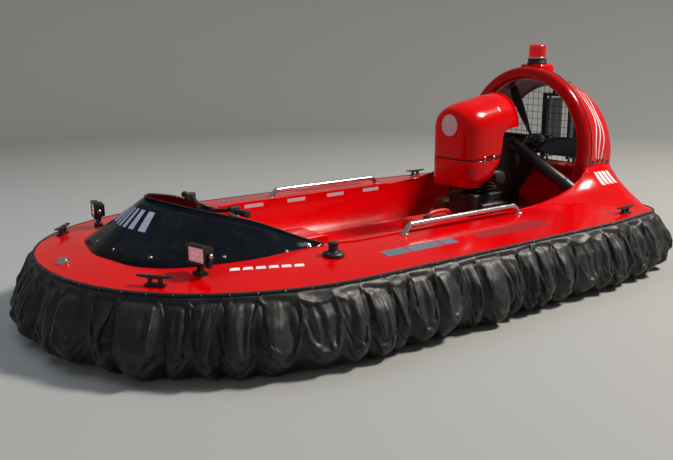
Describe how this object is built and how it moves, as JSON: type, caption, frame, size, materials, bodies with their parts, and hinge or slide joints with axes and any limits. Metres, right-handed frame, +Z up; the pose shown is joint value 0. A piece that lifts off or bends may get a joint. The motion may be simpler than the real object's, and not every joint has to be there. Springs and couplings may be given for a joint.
{
  "type": "rescue hovercraft",
  "caption": "Light open rescue hovercraft with a full black skirt, tinted windscreen, ducted rear fan under a cowled engine, twin rudders and handlebar steering.",
  "frame": {"origin": "on the ground under the middle of the craft's box, which is the plane of the landing skids' undersides", "axes": "+X towards the bow, +Y to port, +Z up"},
  "size_m": [4.1716, 2.4274, 1.427],
  "materials": {
    "gelcoat_red": "glossy red gelcoat",
    "tub_red": "glossy bright red inner moulding",
    "skirt_fabric": "black coated fabric, slightly shiny",
    "rubber_black": "matt black rubber",
    "skid_plastic": "black wear strip",
    "tinted_sheet": "dark tinted plastic sheet",
    "black_metal": "satin black paint",
    "black_plastic": "satin black plastic",
    "engine_metal": "dark engine metal",
    "badge_vinyl": "plain pale grey vinyl disc",
    "alloy_tube": "polished tube",
    "chrome": "bright chrome",
    "beacon_red": "red moulded lens",
    "tank_red": "red moulded tank"
  },
  "bodies": {
    "hull": {"lower_hull": "gelcoat_red", "cockpit_tub": "tub_red", "deck_moulding": "gelcoat_red", "rub_rail": "rubber_black", "skirt_bow": "skirt_fabric", "skirt_port": "skirt_fabric", "skirt_stern": "skirt_fabric", "skirt_starboard": "skirt_fabric", "skid_port": "skid_plastic", "skid_centre": "skid_plastic", "skid_starboard": "skid_plastic", "console": "tub_red", "windscreen": "tinted_sheet", "duct_lip": "gelcoat_red", "duct_shell": "gelcoat_red", "lift_splitter": "gelcoat_red", "duct_guard": "black_metal", "fan_beam": "black_metal", "rudder_frame": "black_metal", "engine_block": "engine_metal", "engine_frame": "black_metal", "belt_housing": "black_plastic", "exhaust": "engine_metal", "strut_port": "black_plastic", "strut_starboard": "black_plastic", "cowl_upper": "gelcoat_red", "cowl_lower": "gelcoat_red", "cowl_badge": "badge_vinyl", "side_rail_port": "alloy_tube", "side_rail_starboard": "alloy_tube", "cleat_bow_port": "black_plastic", "cleat_bow_starboard": "black_plastic", "cleat_stern_port": "black_plastic", "cleat_stern_starboard": "black_plastic", "lamp_port": "black_plastic", "lamp_starboard": "black_plastic", "bow_light": "chrome", "deck_socket": "black_plastic", "beacon_pedestal": "gelcoat_red", "beacon_base": "black_plastic", "beacon_dome": "beacon_red", "fuel_tank": "tank_red", "fuel_cap": "black_plastic", "steering_column": "black_metal"},
    "fan": {"fan": "black_plastic"},
    "rudder_port": {"rudder_port": "black_metal"},
    "rudder_starboard": {"rudder_starboard": "black_metal"},
    "steering": {"handlebar": "black_metal", "grip_port": "rubber_black", "grip_starboard": "rubber_black"}
  },
  "joints": [
    {"name": "fan_spin", "type": "hinge", "parent": "hull", "child": "fan", "pos_m": [-1.63, 0, 0.72], "axis": [1, 0, 0], "continuous": true},
    {"name": "steering", "type": "hinge", "parent": "hull", "child": "steering", "pos_m": [1.086, 0, 0.538], "axis": [-0.3236, 0, 0.9462], "range_deg": [-30, 30]},
    {"name": "rudder_port_turn", "type": "hinge", "parent": "hull", "child": "rudder_port", "pos_m": [-1.912, 0.1, 0.812], "axis": [0, 0, 1], "range_deg": [-25, 25]},
    {"name": "rudder_starboard_turn", "type": "hinge", "parent": "hull", "child": "rudder_starboard", "pos_m": [-1.912, -0.1, 0.812], "axis": [0, 0, 1], "range_deg": [-25, 25]}
  ],
  "couplings": [
    {"joint": "rudder_port_turn", "follows": "steering", "ratio": -0.8},
    {"joint": "rudder_starboard_turn", "follows": "steering", "ratio": -0.8}
  ]
}
